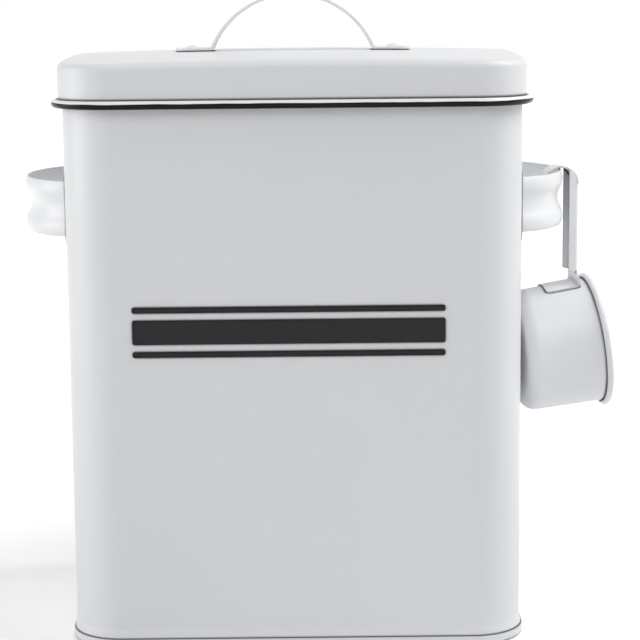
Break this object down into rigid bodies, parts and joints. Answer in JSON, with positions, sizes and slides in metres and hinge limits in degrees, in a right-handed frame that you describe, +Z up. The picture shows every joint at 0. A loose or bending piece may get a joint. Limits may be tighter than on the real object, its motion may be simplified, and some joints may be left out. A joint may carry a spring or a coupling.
{
  "type": "laundry powder storage tin with scoop",
  "caption": "Rounded-rectangle sheet-steel powder canister with a lift-off lid, a strap handle, pressed side loops and a cup scoop hooked on one loop.",
  "frame": {"origin": "centre of the base on the standing plane", "axes": "+Z up, front towards -Y, the scoop hangs on the +X side"},
  "size_m": [0.2559, 0.1412, 0.2715],
  "materials": {
    "white_enamel": "satin white powder coat",
    "black_enamel": "gloss black enamel"
  },
  "bodies": {
    "tin": {"body_wall": "white_enamel", "base_pan": "white_enamel", "left_handle_plate": "white_enamel", "left_handle_loop": "white_enamel", "right_handle_plate": "white_enamel", "right_handle_loop": "white_enamel"},
    "lid": {"lid_shell": "white_enamel", "lid_rim_bead": "black_enamel", "lid_handle": "white_enamel", "lid_left_rivet": "white_enamel", "lid_right_rivet": "white_enamel"},
    "scoop": {"scoop_cup": "white_enamel", "scoop_strap": "white_enamel"}
  },
  "joints": [
    {"name": "lid_lift", "type": "slide", "parent": "tin", "child": "lid", "axis": [0, 0, 1], "range_m": [0, 0.12]},
    {"name": "scoop_lift", "type": "slide", "parent": "tin", "child": "scoop", "axis": [0.5878, 0, 0.809], "range_m": [0, 0.15]}
  ]
}
